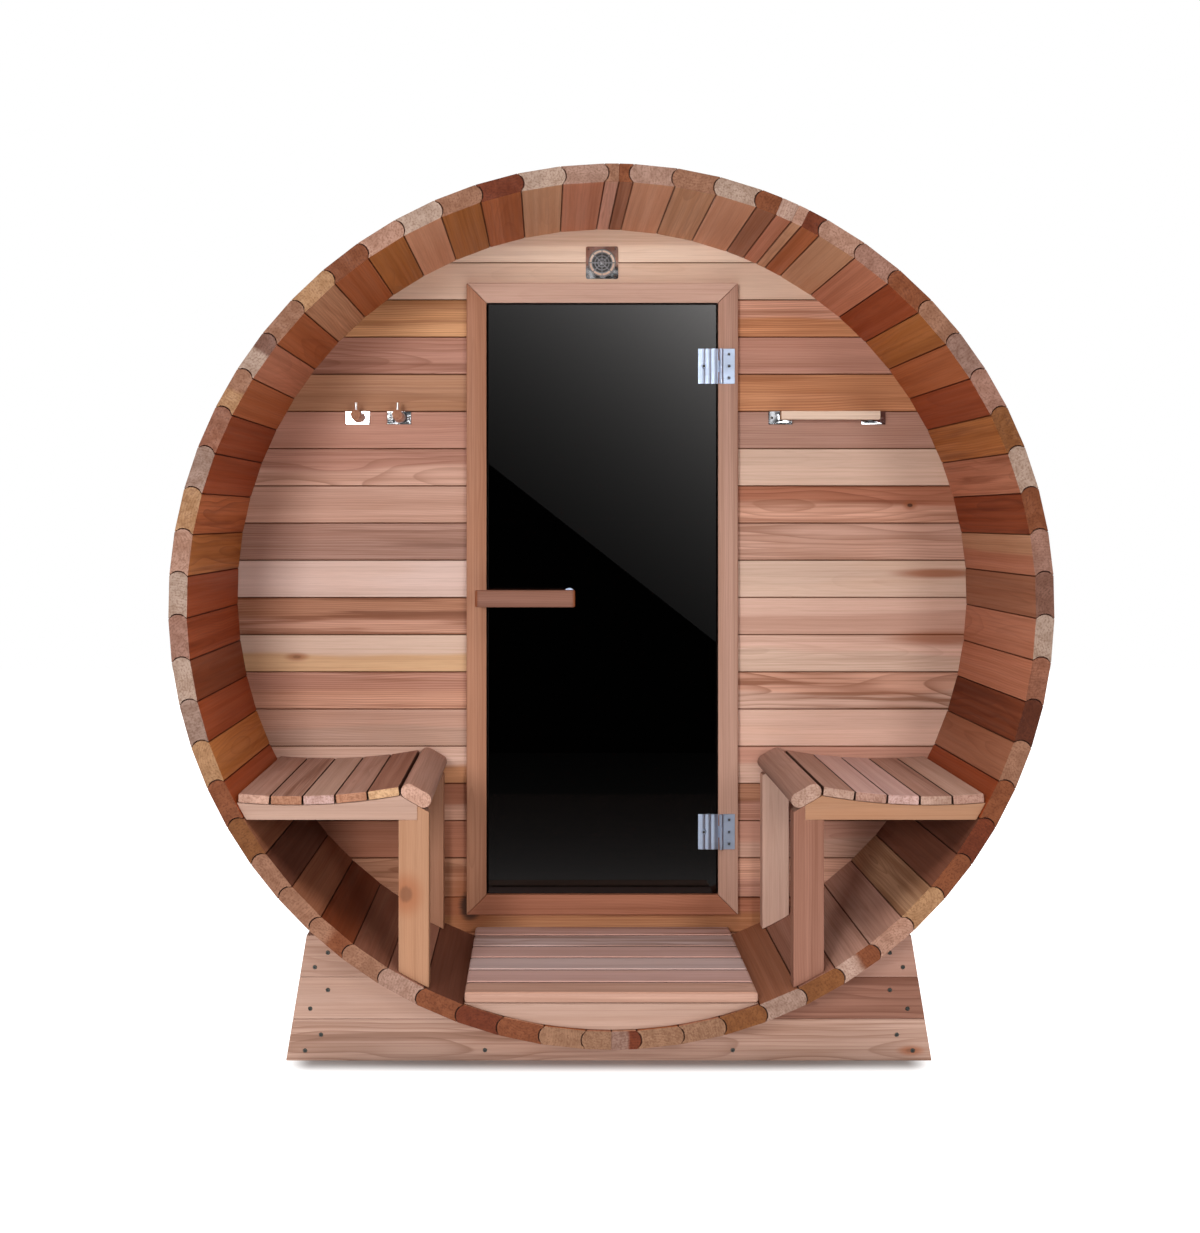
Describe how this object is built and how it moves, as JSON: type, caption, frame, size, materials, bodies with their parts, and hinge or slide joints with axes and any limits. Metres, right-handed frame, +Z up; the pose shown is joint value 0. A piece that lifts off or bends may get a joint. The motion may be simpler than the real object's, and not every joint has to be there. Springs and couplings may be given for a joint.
{
  "type": "barrel sauna",
  "caption": "Horizontal stave barrel cabin on wooden cradles, with a covered porch, side benches, a slatted floor and a hinged tinted glass door in a boarded front wall.",
  "frame": {"origin": "on the ground under the middle of the barrel", "axes": "+X to the right as seen from the porch, +Y along the barrel from the porch to the rear, +Z up"},
  "size_m": [1.8334, 2.4, 1.8987],
  "materials": {
    "stave_cedar": "planed cedar, bare",
    "wall_cedar": "planed cedar boards of mixed tone",
    "frame_cedar": "planed cedar, bare",
    "floor_cedar": "planed cedar, greyed",
    "bench_cedar": "planed cedar, bare",
    "cradle_cedar": "planed cedar, bare",
    "tinted_glass": "dark tinted, polished",
    "bright_fittings": "polished",
    "hinge_metal": "satin",
    "hoop_steel": "brushed"
  },
  "bodies": {
    "sauna": {"staves_keel": "stave_cedar", "staves_lower_left": "stave_cedar", "staves_left": "stave_cedar", "staves_upper_left": "stave_cedar", "staves_crown": "stave_cedar", "staves_upper_right": "stave_cedar", "staves_right": "stave_cedar", "staves_lower_right": "stave_cedar", "hoops": "hoop_steel", "hoop_tighteners": "hoop_steel", "front_wall_left": "wall_cedar", "front_wall_right": "wall_cedar", "front_wall_top": "wall_cedar", "front_wall_bottom": "wall_cedar", "rear_wall": "wall_cedar", "door_frame_left": "frame_cedar", "door_frame_right": "frame_cedar", "door_frame_head": "frame_cedar", "door_frame_sill": "frame_cedar", "frame_hinges": "hinge_metal", "vent_plate": "bright_fittings", "vent_grille": "bright_fittings", "robe_hook_plates": "bright_fittings", "robe_hook_pegs": "frame_cedar", "towel_bar_brackets": "bright_fittings", "towel_bar": "frame_cedar", "porch_floor_boards": "floor_cedar", "cabin_floor_boards": "floor_cedar", "floor_bearers": "floor_cedar", "left_bench_slats": "bench_cedar", "left_bench_nose": "bench_cedar", "left_bench_rails": "bench_cedar", "left_bench_legs": "bench_cedar", "right_bench_slats": "bench_cedar", "right_bench_nose": "bench_cedar", "right_bench_rails": "bench_cedar", "right_bench_legs": "bench_cedar", "front_cradle_boards": "cradle_cedar", "rear_cradle_boards": "cradle_cedar", "cradle_cleats": "cradle_cedar"},
    "door": {"door_glass": "tinted_glass", "door_handle": "frame_cedar", "inner_handle": "frame_cedar", "handle_standoffs": "bright_fittings", "glass_hinges": "hinge_metal"}
  },
  "joints": [
    {"name": "door_hinge", "type": "hinge", "parent": "sauna", "child": "door", "pos_m": [0.284, -0.725, 0], "axis": [0, 0, 1], "range_deg": [0, 95]}
  ]
}
